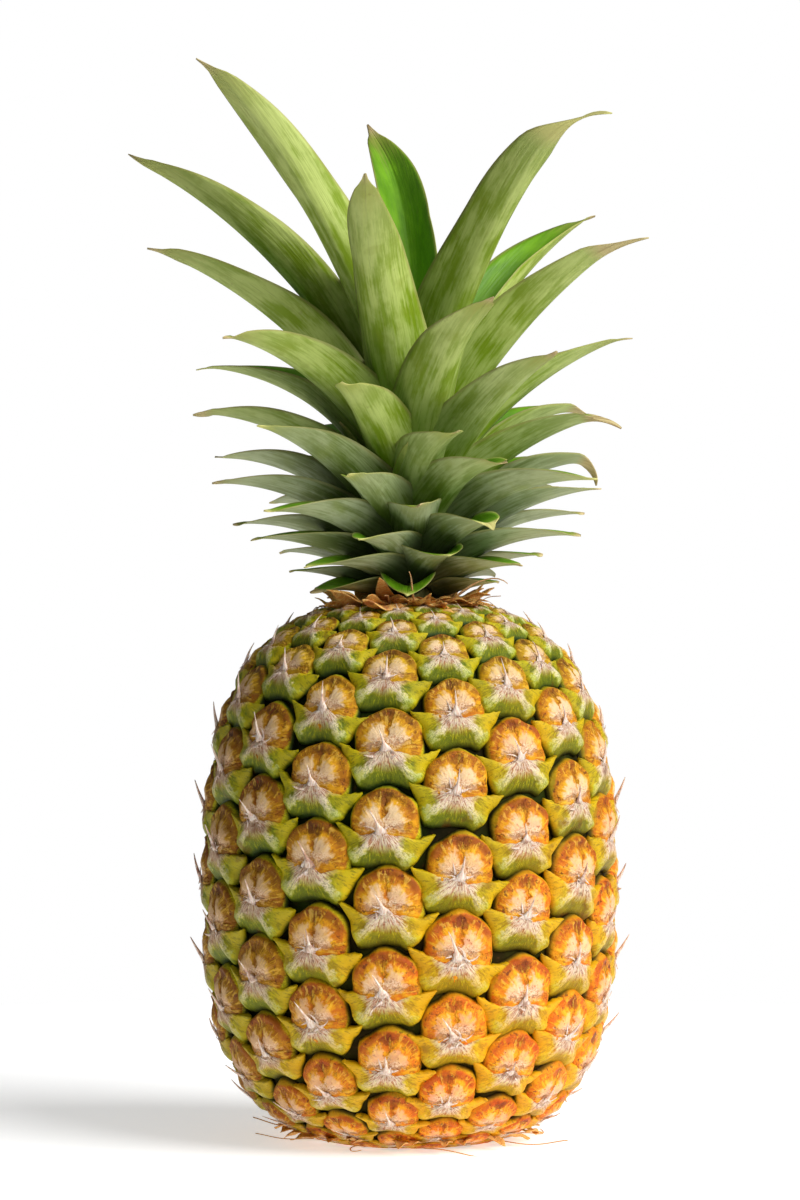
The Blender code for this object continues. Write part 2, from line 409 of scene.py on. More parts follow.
def eyeTree():
    # sets one shape of a collection at each eye of a flat grid, then wraps the grid round the barrel
    net, given = startTree("eyesOnBarrel", {
        "Collection": "Shapes", "Object": "Side path", "Material": "Look",
        "Int": "Shape count, Columns, Seed",
        "Float": "Row step, First row, Lowest row, Highest row, Cell width, Cell height, Azimuth, "
                 "Barrel radius, Shift, Turn, Growth, Flat below, Ground gap",
    })
    lowest, highest, radiusOut = given["Lowest row"], given["Highest row"], given["Barrel radius"]
    rows = net.math("CEIL", highest - lowest) + 1
    line = net.node("GeometryNodeMeshLine", None, {"Count": rows * given["Columns"]})
    index = net.node("GeometryNodeInputIndex")
    column = net.math("MODULO", index, given["Columns"])
    ring = net.math("FLOOR", index / given["Columns"] + 0.001)
    row = net.math("FRACT", given["First row"] + given["Row step"] * column) + ring
    row = row + net.math("FLOOR", lowest)
    out = net.math("MAXIMUM", net.math("GREATER_THAN", row, highest), net.math("LESS_THAN", row, lowest))
    spots = moveTo(net, line, net.join(column * given["Cell width"], row * given["Cell height"], 0.0))
    values = {"Geometry": spots, "Selection": out}
    spots = net.node("GeometryNodeDeleteGeometry", {"domain": "POINT"}, values)
    seed = given["Seed"]
    shift = net.vector("MULTIPLY", net.join(1.0, 1.0, 0.0), net.chance(seed + 1, (-1, -1, -1), (1, 1, 1)))
    shift = net.node("ShaderNodeVectorMath", {"operation": "SCALE"}, {0: shift, "Scale": given["Shift"]})
    spots = net.node("GeometryNodeSetPosition", None, {"Geometry": spots, "Offset": shift})
    tint = net.chance(seed + 2, 0.0, 1.0)
    turn = net.chance(seed + 3, -1.0, 1.0) * given["Turn"]
    size = 1 + net.chance(seed + 4, -1.0, 1.0) * given["Growth"]
    which = net.chance(seed + 5, 0.0, 0.9999)
    placed = setShapes(net, given, spots, tint, which, net.join(0.0, 0.0, turn), size)
    x, y, stand = net.split(net.node("GeometryNodeInputPosition"))
    path = net.node("GeometryNodeObjectInfo", None, {"Object": given["Side path"]}, "Geometry")
    path = net.node("GeometryNodeMeshToCurve", None, {"Mesh": path})

    def along(name):
        value = net.node("GeometryNodeInputNamedAttribute", {"data_type": "FLOAT_VECTOR"}, {"Name": name})
        settings = {"data_type": "FLOAT_VECTOR", "mode": "LENGTH", "use_all_curves": True}
        values = {"Curves": path, "Value": value, "Length": y / given["Cell height"] - pathRows[0].item()}
        return net.node("GeometryNodeSampleCurve", settings, values, "Value")

    radius, height, _ = net.split(along("spot"))
    outward, upward, _ = net.split(along("facing"))
    stand = stand * net.math("MAXIMUM", radius, 10.0) / radiusOut
    # an eye is pressed flat near the ground
    low = net.smooth(height, 0.0, 1.0)
    low = net.clamp(height / given["Flat below"]) * 0.75 + 0.25 * low
    stand = net.math("MINIMUM", stand, 0.0) + net.math("MAXIMUM", stand, 0.0) * low
    radius = (radius + stand * outward) * metre
    height = net.math("MAXIMUM", height + stand * upward, given["Ground gap"]) * metre
    angle = given["Azimuth"] + x / radiusOut
    place = net.join(radius * net.math("SINE", angle), radius * net.math("COSINE", angle) * -1.0, height)
    return endTree(net, given, moveTo(net, placed, place))


def shapeSet(name, meshes):
    group = bpy.data.collections.new(name)
    for number, mesh in enumerate(meshes):
        group.objects.link(bpy.data.objects.new(f"{name}{number}", mesh))
    return group


def fromTree(name, tree, meshes, values):
    # what a tree makes from some shapes, as a plain mesh
    shapes = shapeSet(name + "Shapes", meshes)
    holder = bpy.data.objects.new(name + "Holder", bpy.data.meshes.new(name + "Holder"))
    bpy.context.scene.collection.objects.link(holder)
    layer = holder.modifiers.new("shapes", "NODES")
    layer.node_group = tree
    values = {**values, "Shapes": shapes}
    for socket in tree.interface.items_tree:
        if socket.in_out == "INPUT":
            layer[socket.identifier] = values[socket.name]
    bpy.context.view_layer.update()
    evaluated = holder.evaluated_get(bpy.context.evaluated_depsgraph_get())
    mesh = bpy.data.meshes.new_from_object(evaluated)
    mesh.name = name
    bpy.data.objects.remove(holder)
    for shape in list(shapes.objects):
        bpy.data.objects.remove(shape)
    bpy.data.collections.remove(shapes)
    return mesh


def eyesOnBarrel(name, tree, path, meshes, look, gap):
    upper = pathRows > 4
    return fromTree(name, tree, meshes, {
        "Shape count": len(meshes), "Side path": path, "Columns": eyeGrid["columns"],
        "Row step": eyeGrid["step"], "First row": firstRow, "Lowest row": eyes["lowest"],
        "Highest row": float(np.interp(-eyes["top"], -pathR[upper], pathRows[upper])),
        "Cell width": eyeGrid["width"], "Cell height": eyeGrid["height"],
        "Azimuth": math.radians(eyeGrid["azimuth"]), "Barrel radius": barrel["radius"],
        "Shift": eyes["shift"], "Turn": math.radians(eyes["turn"]), "Growth": eyes["growth"],
        "Flat below": eyes["flatBelow"], "Ground gap": gap, "Seed": eyes["seed"], "Look": look,
    })


# The eyes. Lengths are in mm on a flat grid, x to the right and y up from the foot of an eye's spike.

eyes = {
    "seed": 11,
    "lowest": -1.1,  # rows
    "top": 16.0,  # mm from the axis, where the eyes end
    "shift": 0.8,
    "turn": 7.0,  # degrees
    "growth": 0.04,
    "flatBelow": 11.0,
    "gaps": {"eyeDomes": 0.3, "eyeBracts": 0.12, "eyeSpikes": 0.45},  # mm over the ground
}
dome = {
    "shapes": 6,
    "middle": (1.1, 2.5),
    "radius": (11.3, 11.0),
    "deep": -2.7,
    "high": 2.2,
    "power": 5.0,
    "around": 34,
    "shares": (0.1, 0.23, 0.36, 0.48, 0.58, 0.67, 0.75, 0.82, 0.88, 0.93, 0.965, 0.99),
    "padLeft": (-4.0, 4.6),
    "padRight": (5.6, 4.6),
    "padHeight": 0.7,
    "notchDepth": 0.6,
    "rimHeight": 0.45,
}
bract = {
    "shapes": 6,
    "along": 34,
    "tips": ((-14.1, 1.8), (16.1, -1.5)),
    "dip": -1.9,
    "dipPower": 1.6,
    "peak": 2.2,
    "lower": (
        (-14.1, 1.8), (-12.9, -1.3), (-11.4, -4.2), (-10.5, -7.6), (-8.8, -11.8), (-5.4, -12.2),
        (-0.6, -10.9), (4.0, -11.3), (6.9, -12.9), (10.6, -10.2), (12.2, -7.0), (14.3, -4.5), (16.1, -1.5),
    ),
    "lip": 0.8,
    "ridge": 0.9,
}
spike = {"shapes": 8, "length": 9.5, "width": 3.6, "lift": 3.0, "fibres": (4, 8)}


def domeShape(chance):
    share = np.array(dome["shares"])[:, None]
    turn = np.linspace(0, 2 * math.pi, dome["around"], endpoint=False)[None, :]
    phases = chance.uniform(0, 2 * math.pi, 5)
    lobes = 1 + 0.025 * np.cos(2 * turn + phases[0]) + 0.02 * np.cos(3 * turn + phases[1])
    lobes = lobes + 0.035 * np.cos(6 * turn - math.pi)
    lobes = lobes + 0.012 * np.cos(7 * turn + phases[2]) + 0.01 * np.cos(11 * turn + phases[4])
    x = dome["middle"][0] + share * lobes * dome["radius"][0] * np.cos(turn)
    y = dome["middle"][1] + share * lobes * dome["radius"][1] * np.sin(turn)
    upper = step(np.sin(turn), -0.2, 0.6)
    height = dome["deep"] + (dome["high"] - dome["deep"]) * (1 - share ** dome["power"]) ** 0.5
    height = height + dome["rimHeight"] * bell(share, 0.84, 0.07) * upper
    height = height - 0.6 * bell(share, 0.67, 0.1) * upper
    jitter = chance.uniform(-0.8, 0.8, 6)
    for side, spot in enumerate((dome["padLeft"], dome["padRight"])):
        away = np.hypot(x - spot[0] - jitter[side * 2], (y - spot[1] - jitter[side * 2 + 1]) * 1.1)
        height = height + dome["padHeight"] * chance.uniform(0.6, 1.4) * bell(away, 0, 3.0)
    seam = bell(x - dome["middle"][0], jitter[4] * 0.15, 0.5) * step(y, 0.5, 3) * step(share, 0.98, 0.85)
    height = height - 0.45 * seam
    notch = bell(np.hypot((x - dome["middle"][0] + 0.6) / 1.6, (y - 8.2 - jitter[5] * 0.6) / 1.1), 0, 1)
    height = height - dome["notchDepth"] * notch
    height = height - 0.45 * bell(y - 0.35 * np.abs(x - 1), -0.6, 0.7) * step(np.abs(x - 1), 1.5, 3)
    height = height + 0.16 * np.sin(5 * turn + phases[3]) * step(share, 0.3, 0.8)
    height = height + chance.uniform(-0.12, 0.12, height.shape) * step(share, 1.0, 0.8)
    rings = np.stack([x, y, height + 0 * x], axis=2)
    under = rings[-1].copy()
    under[:, 2] = dome["deep"] - 0.6
    points, faces = loft(np.concatenate([rings, [under]]))
    return smallShape("dome", points, faces)


def bractShape(chance):
    # a star: a smiling upper edge with a peak at the spike, wings to both sides and two lower corners
    across = np.linspace(-1, 1, bract["along"] + 1)
    side = np.abs(across)
    left, right = np.array(bract["tips"])
    topX = left[0] + (right[0] - left[0]) * (across + 1) / 2
    slant = left[1] + (right[1] - left[1]) * (across + 1) / 2
    dip = bract["dip"] + chance.uniform(-0.5, 0.5)
    topY = slant + (dip - (left[1] + right[1]) / 2) * (1 - side ** bract["dipPower"])
    topY = topY + bract["peak"] * chance.uniform(0.7, 1.1) * bell(topX, 0.3, 1.8)
    topY = topY + chance.uniform(-0.25, 0.25, topY.shape) * step(side, 1.0, 0.8)
    sway = chance.uniform(0, 6, 2)
    waves = 0.6 * np.sin(across * 5 + sway[0]) + 0.35 * np.sin(across * 11 + sway[1])
    topY = topY + waves * (1 - side**3)
    lower = np.array(bract["lower"]) + 0.0
    lower[1:-1] += chance.uniform(-0.4, 0.4, (len(lower) - 2, 2))
    at = np.linspace(-1, 1, len(lower))
    lowX = np.interp(across, at, lower[:, 0])
    lowY = np.interp(across, at, lower[:, 1])
    lipZ = 2.6 - 1.5 * side**1.3 + chance.uniform(-0.2, 0.5) * side**3
    lowZ = -1.1 + 1.2 * bell(side, 0.5, 0.1) + 1.4 * step(side, 0.7, 1.0)
    narrow = step(side, 1.0, 0.86)  # the wings' ends are thin
    lip = bract["lip"] * step(side, 0.0, 0.3) + 0.25
    shares = (-0.02, -0.01, 0, 0.1, 0.22, 0.36, 0.5, 0.64, 0.78, 0.9, 1.0, 1.01)
    rows = [
        (topX, topY + 0.4, lipZ - 1.9 * narrow - 0.35),
        (topX, topY + 0.12, lipZ - lip * narrow - 0.15),
        (topX, topY, lipZ),
    ]
    for share in shares[3:-2]:
        x = topX + (lowX - topX) * share
        y = topY + (lowY - topY) * share
        z = lipZ + (lowZ - lipZ) * share**2.1 + 0.35 * math.sin(math.pi * share) * (1 - side**2)
        z = z + bract["ridge"] * bell(side - 0.13 - 0.37 * share, 0, 0.1) * step(share, 0.05, 0.5)
        z = z - 0.6 * bell(side, 0, 0.22) * step(share, 0.4, 0.8)
        z = z - 0.5 * bell(side, 0.32 + 0.42 * share, 0.08) * math.sin(math.pi * share)
        z = z + chance.uniform(-0.1, 0.1, z.shape) * narrow
        rows.append((x, y, z))
    rows.append((lowX, lowY, lowZ - 0.6 * narrow))
    rows.append((lowX * 0.96, lowY + 0.5, lowZ - 2.6 * narrow - 0.2))
    rings = np.stack([np.stack(row, axis=1) for row in rows], axis=1)
    points, faces = loft(rings)
    mesh = smallShape("bract", points, faces)
    spread = [(a, b, 0) for a in across for b in shares]
    mark(mesh, "bractAt", spread + [(-1, 0.5, 0), (1, 0.5, 0)])
    return mesh


def blade(spots, widths, thick, face, ridge=0.3):
    # a thin pointed strip along some points; face is the side that its keel stands up from
    spots = np.asarray(spots, float)
    ahead = np.gradient(spots, axis=0)
    ahead /= np.linalg.norm(ahead, axis=1)[:, None]
    side = np.cross(ahead, face)
    side /= np.linalg.norm(side, axis=1)[:, None]
    up = np.cross(side, ahead)
    rings = []
    section = ((-1, 0), (-0.5, ridge * 0.6), (0, ridge), (0.5, ridge * 0.6), (1, 0), (0, ridge - 1))
    for share, lift in section:
        lift = lift * thick if share or lift > 0 else -thick
        rings.append(spots + side * (share * widths / 2)[:, None] + up * np.reshape(lift, (-1, 1)))
    return loft(np.stack(rings, axis=1))


def spikeShape(chance):
    # the papery point over a dome, with torn fibres round its foot
    at = np.linspace(0, 1, 10)
    length = spike["length"] * chance.uniform(0.6, 1.1)
    lean = chance.uniform(-0.28, 0.28)
    curve = chance.uniform(-1.6, 1.6)
    x = lean * length * at + curve * at * at + 0.2
    y = -1.2 + length * at
    z = 2.3 + spike["lift"] * chance.uniform(0.4, 1.5) * at**1.4 + 0.5 * np.sin(at * math.pi)
    widths = spike["width"] * (0.2 + 0.8 * (1 - step(at, 0.0, 0.45))) * (1 - at**3) + 0.12
    thick = (0.6 * (1 - at) + 0.12)[:, None]
    parts = [blade(np.stack([x, y, z], axis=1), widths, thick, (0, 0, 1), 1.0)]
    for _ in range(chance.integers(*spike["fibres"])):
        heading = chance.uniform(-0.5, math.pi + 0.5)
        reach = chance.uniform(1.5, 4.6)
        at = np.linspace(0, 1, 5)
        bend = chance.uniform(-0.7, 0.7)
        x = chance.uniform(-2.4, 2.4) + reach * np.cos(heading + bend * at) * at
        y = chance.uniform(-3.4, 0.6) + reach * np.sin(heading + bend * at) * at
        z = 2.6 + chance.uniform(-0.1, 0.9) * at
        widths = chance.uniform(0.4, 1.2) * (1 - at**1.5) + 0.08
        parts.append(blade(np.stack([x, y, z], axis=1), widths, 0.2, (0, 0, 1)))
    points, faces = gather(parts)
    return smallShape("spike", points, faces)


ripeness = {
    "right": 7.0,  # more orange for each metre to the right, down and forward
    "down": 7.5,
    "front": 2.0,
    "patches": 1.3,
    "base": 0.22,
    "level": 0.085,  # metres
    "shadedFrom": (-0.012, -0.058),  # painted shade: the left side turns darker brown green, metres to the right
    "youngFrom": (0.128, 0.158),  # green shoulder, metres up
}


def warmthAndLeftShade(net):
    # how ripe the rind is: ripest low on the right of the front, greenest high on the left; and a mask for
    # painted shade on the fruit's left side
    place = net.place()
    x, y, z = net.split(place)
    patch = net.noise(place, 26.0, 2.0)
    ripe = x * ripeness["right"] + (ripeness["level"] - z) * ripeness["down"] - y * ripeness["front"]
    ripe = ripe + (patch - 0.5) * ripeness["patches"] + ripeness["base"]
    left = net.smooth(x, *ripeness["shadedFrom"])
    young = net.smooth(z, *ripeness["youngFrom"])
    return place, net.clamp(ripe), left, young


def ownPlace(net, steps):
    # an eye's flat place, its tint, and its flat place in a part of the noises that no other eye reads
    at = net.attribute("eyeAt")
    tint = net.attribute("eyeTint", "Fac")
    return at, tint, net.vector("ADD", at, net.join(tint * steps[0], tint * steps[1], tint * steps[2]))


def domeLook():
    look, net = newLook("eyeDome")
    at, tint, own = ownPlace(net, (61.0, 23.0, 87.0))
    _, ripe, left, young = warmthAndLeftShade(net)
    wobble = net.vector("SUBTRACT", net.wobble(own, 0.55), (0.5, 0.5, 0.5))
    moved = net.vector("MULTIPLY_ADD", wobble, (5.0, 5.0, 0.0), at)
    x, y, _ = net.split(moved)
    rawX, rawY, height = net.split(at)
    across = (rawX - dome["middle"][0]) / dome["radius"][0]
    up = (rawY - dome["middle"][1]) / dome["radius"][1]
    out = (across * across + up * up) ** 0.5
    fine = net.noise(own, 2.2, 4.0, 0.7)
    blotch = net.noise(own, 0.34, 3.0)
    one, two, three = (net.random(tint, salt) for salt in (1.3, 7.7, 13.1))
    # angle over the horizontal and distance, from the spike's foot
    aside = net.math("ABSOLUTE", x - 0.6)
    over = y - 1.4
    angle = net.math("ARCTAN2", over, aside)
    away = (aside * aside + over * over) ** 0.5
    heading = net.math("ARCTAN2", rawX - 0.5, rawY + 0.5)
    rays = net.noise(net.join(heading * 4.0, away * 0.12, tint * 50.0), 2.0, 3.0)

    gold = net.mix(net.smooth(blotch, 0.38, 0.64), tone(184, 118, 0), tone(232, 168, 6))
    warm = net.mix(net.smooth(blotch, 0.38, 0.64), tone(238, 116, 0), tone(255, 172, 4))
    coat = Coat(net, net.mix(net.clamp(ripe * 1.1 + (one - 0.5) * 0.35), gold, warm))
    # painted shade: the eyes on the left side darken to brown
    coat.lay(left * 0.65, tone(104, 70, 8))
    coat.lay(young * 0.6, tone(166, 156, 20))
    # pale pads that fan out to each side of the seam
    fan = net.smooth(angle, -0.5, 0.1) * net.smooth(angle, 1.5, 1.15)
    pad = fan * net.smooth(away + (rays - 0.5) * 5.0, 8.2, 5.2)
    cream = net.mix(ripe, tone(250, 222, 190), tone(255, 222, 200))
    # painted shade: the pale pads darken on the left side
    cream = net.mix(left * 0.45, cream, tone(178, 132, 92))
    coat.lay(pad * (0.7 + 0.3 * two) * (1.0 - 0.4 * ripe), cream)
    foot = net.spot(x, y, (0.6, 1.2), (5.4, 2.4), 0.7)
    paper = net.mix(net.smooth(fine, 0.35, 0.6), tone(190, 120, 80), tone(255, 234, 214))
    coat.lay(foot * 0.7, paper)
    # darker arc under the rim and the notch at its middle
    arc = net.smooth(out, 0.6, 0.74) * net.smooth(out, 0.94, 0.84) * net.smooth(rawY, 3.0, 7.5)
    brown = net.mix(ripe, tone(128, 78, 8), tone(200, 78, 8))
    coat.lay(arc * net.smooth(fine + 0.35 * three, 0.42, 0.74) * 0.85, brown)
    notch = net.spot(x, y, (0.6, 9.6), (2.6, 1.6), 0.7)
    coat.lay(notch * (0.2 + 0.6 * one), net.mix(ripe, tone(70, 32, 16), tone(120, 40, 16)))
    seam = net.smooth(net.math("ABSOLUTE", x - 0.9), 0.5, 0.1) * net.smooth(rawY, 2.5, 5.0)
    seam = seam * net.smooth(out, 0.9, 0.75)
    coat.lay(seam * (0.1 + 0.5 * two), tone(140, 72, 20))
    crease = net.smooth(net.math("ABSOLUTE", angle + 0.12), 0.16, 0.04) * net.smooth(away, 1.0, 3.0)
    coat.lay(crease * net.smooth(fine, 0.3, 0.6) * 0.6, tone(150, 78, 26))
    streak = net.smooth(rays, 0.52, 0.62) * net.smooth(away, 3.0, 6.0) * net.smooth(out, 0.92, 0.8)
    coat.lay(streak * 0.5, tone(252, 216, 150))
    # specks and bruises, more where it is ripe
    specks = net.smooth(net.noise(own, 0.9, 3.0, 0.65), 0.57, 0.7)
    coat.lay(specks * (0.3 + 0.5 * ripe), net.mix(two, tone(138, 62, 38), tone(196, 66, 22)))
    dark = net.smooth(net.noise(own, 0.6, 2.0), 0.6, 0.7) * net.smooth(out, 0.4, 0.75)
    coat.lay(dark * 0.75, tone(92, 36, 30))
    # the rim: yellow green on top, pale green at the sides; lower down the sides olive, then near black:
    # painted shade in the groove over its own olive
    rim = net.smooth(out + (fine - 0.5) * 0.14, 0.88, 0.94)
    green = net.mix(ripe, tone(152, 156, 14), tone(214, 158, 14))
    pale = net.mix(net.smooth(fine, 0.4, 0.6), tone(170, 180, 60), tone(222, 214, 96))
    edge = net.mix(net.smooth(across + (fine - 0.5) * 0.6, 0.0, 0.5), green, pale)
    coat.lay(rim * (0.95 - 0.5 * ripe), edge)
    coat.lay(net.smooth(height, 0.3, -1.0), net.mix(ripe, tone(52, 74, 2), tone(124, 92, 4)))
    coat.lay(net.smooth(height, -0.9, -1.9), net.mix(ripe, tone(14, 20, 0), tone(46, 30, 4)))
    rise = fine * 0.25 + rays * 0.5 + blotch * 0.4 - seam * 0.3 - crease * 0.35 - notch * 0.2
    rise = rise + net.noise(own, 7.0, 2.0) * 0.05
    rich = 1 - net.clamp(pad + foot * 0.5 + streak * 0.4) * 0.75
    coat.lay(rich, (0.88, 0.82, 0.4, 1.0), "MULTIPLY")
    rough = 0.5 + 0.2 * fine - 0.08 * ripe
    finishLook(net, net.vivid(coat.colour, 1.1, 1.08), rough, rise, Specular_IOR_Level=0.3)
    return look


def bractLook():
    look, net = newLook("eyeBract")
    at, tint, own = ownPlace(net, (43.0, 91.0, 17.0))
    place, ripe, left, _ = warmthAndLeftShade(net)
    wobbleX, wobbleY, _ = net.split(net.wobble(own, 0.6))
    across, down, _ = net.split(net.attribute("bractAt"))
    side = net.math("ABSOLUTE", across + (wobbleX - 0.5) * 0.26)
    down = down + (wobbleY - 0.5) * 0.4
    x, y, height = net.split(at)
    fine = net.noise(own, 2.2, 4.0, 0.7)
    blotch = net.noise(own, 0.34, 3.0)
    one, two = (net.random(tint, salt) for salt in (3.9, 17.3))
    # fibres fan out from the spike's foot
    away = ((x - 0.3) * (x - 0.3) + (y - 0.6) * (y - 0.6)) ** 0.5
    heading = net.math("ARCTAN2", x - 0.3, y - 0.6)
    fibres = net.noise(net.join(heading * 8.0, away * 0.2, tint * 40.0), 2.2, 4.0, 0.65)

    olive = net.mix(net.smooth(blotch, 0.35, 0.65), tone(74, 104, 0), tone(160, 160, 4))
    amber = net.mix(net.smooth(fine, 0.35, 0.65), tone(222, 150, 0), tone(252, 186, 0))
    coat = Coat(net, net.mix(ripe * 0.7, olive, amber))
    wing = net.smooth(side, 0.36, 0.6)
    yellow = net.mix(ripe, tone(220, 200, 6), tone(252, 178, 0))
    # painted shade: the wings darken on the left side
    yellow = net.mix(left * 0.4, yellow, tone(128, 120, 12))
    coat.lay(wing * (0.55 + 0.35 * one), yellow)
    # green lobe low in the middle, pale ridges to the lower corners
    lobe = net.smooth(side - down * 0.38, 0.1, -0.06) * net.smooth(down, 0.35, 0.62)
    coat.lay(lobe * (0.95 - 0.6 * ripe), net.mix(fine, tone(62, 88, 0), tone(142, 152, 0)))
    off = net.math("ABSOLUTE", side - 0.1 - 0.4 * down)
    ridge = net.smooth(off, 0.17, 0.05) * net.smooth(down, 1.0, 0.74)
    shade = net.mix(net.smooth(down, 0.85, 0.3), tone(190, 200, 130), tone(255, 240, 226))
    # painted shade: the ridges darken on the left side
    shade = net.mix(left * 0.4, shade, tone(150, 140, 92))
    coat.lay(ridge * (0.45 + 0.5 * net.smooth(fine, 0.4, 0.55)) * (1.0 - 0.6 * ripe), shade)
    # pale upper edge and papery middle
    edge = net.smooth(down, 0.2, 0.03) * net.smooth(side, 0.78, 0.4)
    coat.lay(edge * 0.75, net.mix(fine, tone(226, 186, 120), tone(255, 238, 214)))
    paper = net.smooth(away + (fibres - 0.5) * 7.0, 9.0, 4.2)
    pink = net.mix(net.smooth(fibres, 0.36, 0.6), tone(196, 130, 104), tone(255, 240, 232))
    # painted shade: the papery middle darkens on the left side
    pink = net.mix(left * 0.35, pink, tone(164, 120, 92))
    coat.lay(paper * 0.9, pink)
    rust = net.smooth(net.noise(own, 0.85, 3.0, 0.6), 0.54, 0.66) * net.smooth(away, 10.0, 3.0)
    coat.lay(rust * 0.7, net.mix(one, tone(140, 54, 34), tone(104, 62, 44)))
    hole = net.spot(x, y, (2.4, 0.2), (1.5, 0.8), 0.6) * net.smooth(two, 0.3, 0.5)
    coat.lay(hole * 0.85, tone(48, 24, 14))
    streak = net.smooth(fibres, 0.54, 0.62) * net.smooth(away, 15.0, 7.0)
    far = net.mix(ripe, tone(206, 204, 60), tone(255, 196, 20))
    coat.lay(streak * 0.55, net.mix(net.smooth(away, 6.0, 11.0), tone(248, 234, 190), far))
    streak = net.smooth(fibres, 0.46, 0.4) * net.smooth(away, 4.0, 8.0)
    coat.lay(streak * 0.5, net.mix(ripe, tone(72, 92, 0), tone(170, 112, 8)))
    # margins turn olive, then near black lower down: painted shade in the groove over their own olive
    low = net.smooth(height, 0.2, -1.1)
    coat.lay(low * 0.9, net.mix(ripe * 0.8, tone(32, 62, 2), tone(130, 104, 10)))
    coat.lay(net.smooth(height, -1.0, -1.9), net.mix(ripe, tone(14, 20, 0), tone(46, 30, 4)))
    bruise = net.smooth(net.noise(place, 95.0, 3.0, 0.6), 0.6, 0.7)
    coat.lay(bruise * 0.55, tone(108, 56, 30))
    rise = fibres * 0.8 * net.smooth(away, 13.0, 4.0) + fine * 0.22 + blotch * 0.3
    rise = rise + net.noise(own, 7.0, 2.0) * 0.05 - hole * 0.6
    rich = 1 - net.clamp(paper + ridge * 0.8) * 0.8
    coat.lay(rich, (0.86, 0.84, 0.42, 1.0), "MULTIPLY")
    rough = 0.5 + 0.3 * paper * fine
    finishLook(net, net.vivid(coat.colour, 1.15, 1.1), rough, rise, Specular_IOR_Level=0.3)
    return look


def paperLook(name, light, mid, dark):
    look, net = newLook(name)
    _, tint, own = ownPlace(net, (43.0, 91.0, 17.0))
    lines = net.noise(net.vector("MULTIPLY", own, (3.0, 0.35, 1.0)), 1.4, 3.0, 0.6)
    blotch = net.noise(own, 0.35, 3.0)
    one = net.random(tint, 5.5)
    coat = Coat(net, net.mix(net.smooth(lines, 0.36, 0.62), mid, light))
    coat.lay(net.smooth(blotch + 0.2 * (one - 0.5), 0.56, 0.7) * 0.75, dark)
    rise = lines * 0.35 + net.noise(own, 3.0, 2.0) * 0.06
    finishLook(net, coat.colour, 0.62, rise, Subsurface_Weight=0.1, Subsurface_Scale=0.003)
    return look


def grooveLook():
    look, net = newLook("rindGroove")
    place, ripe, _, _ = warmthAndLeftShade(net)
    x, y, z = net.split(place)
    patch = net.noise(place, 60.0, 4.0)
    fine = net.noise(place, 420.0, 3.0)
    away = (x * x + y * y) ** 0.5
    # the grooves' dark green made near black: painted shade
    coat = Coat(net, net.mix(net.smooth(patch, 0.4, 0.62), tone(8, 14, 0), tone(30, 48, 0)))
    coat.lay(ripe * 0.5, tone(74, 54, 2))
    coat.lay(net.smooth(fine, 0.55, 0.75) * 0.5, tone(96, 60, 34))
    # underside and the cut stalk: dry brown, fibres seen end on
    under = net.smooth(z, 0.0035, 0.0015)
    bark = net.mix(net.smooth(patch + fine * 0.4, 0.5, 0.9), tone(92, 62, 38), tone(150, 112, 72))
    coat.lay(under, bark)
    stalk = net.smooth(away, 0.0128, 0.0118) * under
    values = {"Vector": place, "Scale": 900.0}
    pores = net.node("ShaderNodeTexVoronoi", {"feature": "F1"}, values, "Distance")
    wood = net.mix(net.smooth(pores, 0.15, 0.55), tone(110, 76, 44), tone(206, 176, 124))
    wood = net.mix(net.smooth(patch, 0.5, 0.7) * 0.6, wood, tone(122, 82, 50))
    coat.lay(stalk, wood)
    rise = patch * 0.5 + fine * 0.25 + pores * stalk * 0.3
    finishLook(net, coat.colour, 0.75, rise, Specular_IOR_Level=0.1)
    return look


def makeSkin(look):
    # the skin in the grooves between the eyes, and the underside with the cut stalk
    rows = np.linspace(0, pathRows[-1], barrel["skinRows"])
    r, z, out, up = (np.interp(rows, pathRows, some) for some in (pathR, pathZ, pathOut, pathUp))
    depth = barrel["skinDepth"] * np.maximum(r, 10) / barrel["radius"]
    scar, groove, deep = barrel["scar"], barrel["groove"], barrel["grooveDepth"]
    profile = [
        (0.01, 0.0), (scar * 0.5, 0.0), (scar * 0.9, 0.0), (scar, 0.25), (scar + groove * 0.6, deep),
        (scar + groove * 1.5, deep), (scar + 2 * groove, 0.7), (19, 0.8), (22.5, 0.85),
    ]
    for a, b, c, d, e in zip(r, z, out, up, depth):
        profile.append((a - c * e, max(b - d * e, barrel["skinGap"])))
    turn = np.linspace(0, 2 * math.pi, barrel["skinAround"], endpoint=False)
    points, faces = loft([[(a * math.sin(t), -a * math.cos(t), b) for t in turn] for a, b in profile])
    newPiece("fruitSkin", newMesh("fruitSkin", points * metre, faces), look, ["fruit"])


def makeFruit():
    makeSkin(grooveLook())
    path = makePath()
    tree = eyeTree()
    paper = paperLook("eyeSpike", tone(255, 236, 222), tone(226, 186, 158), tone(150, 96, 66))
    layers = [
        ("eyeDomes", domeShape, dome["shapes"], domeLook()),
        ("eyeBracts", bractShape, bract["shapes"], bractLook()),
        ("eyeSpikes", spikeShape, spike["shapes"], paper),
    ]
    for name, shape, count, look in layers:
        chance = np.random.default_rng(eyes["seed"])
        meshes = [shape(chance) for _ in range(count)]
        mesh = eyesOnBarrel(name, tree, path, meshes, look, eyes["gaps"][name])
        newPiece(name, mesh, look, ["fruit"])
    bpy.data.objects.remove(path)


makeFruit()
print("fruit made")


# The crown. Each leaf follows the centre line of its CAD node, with a finer channel, thin margins and a
# dry point.

leaf = {
    "stations": 46,
    "half": 6,  # points from the middle to a margin
    "trough": 9.5,  # mm
    "fuller": 1.17,
    "thick": 1.2,
    "margin": 0.3,
    "footWidth": 0.84,  # share of the widest
    "widestAt": 0.34,  # share of the length
    "taper": 2.3,
    "point": 0.85,
    "twist": 6.0,  # degrees at the tip
    "wave": 0.35,  # mm at the margins
    "dryFrom": 0.955,  # share of the length where the dry point starts
    "seed": 5,
}
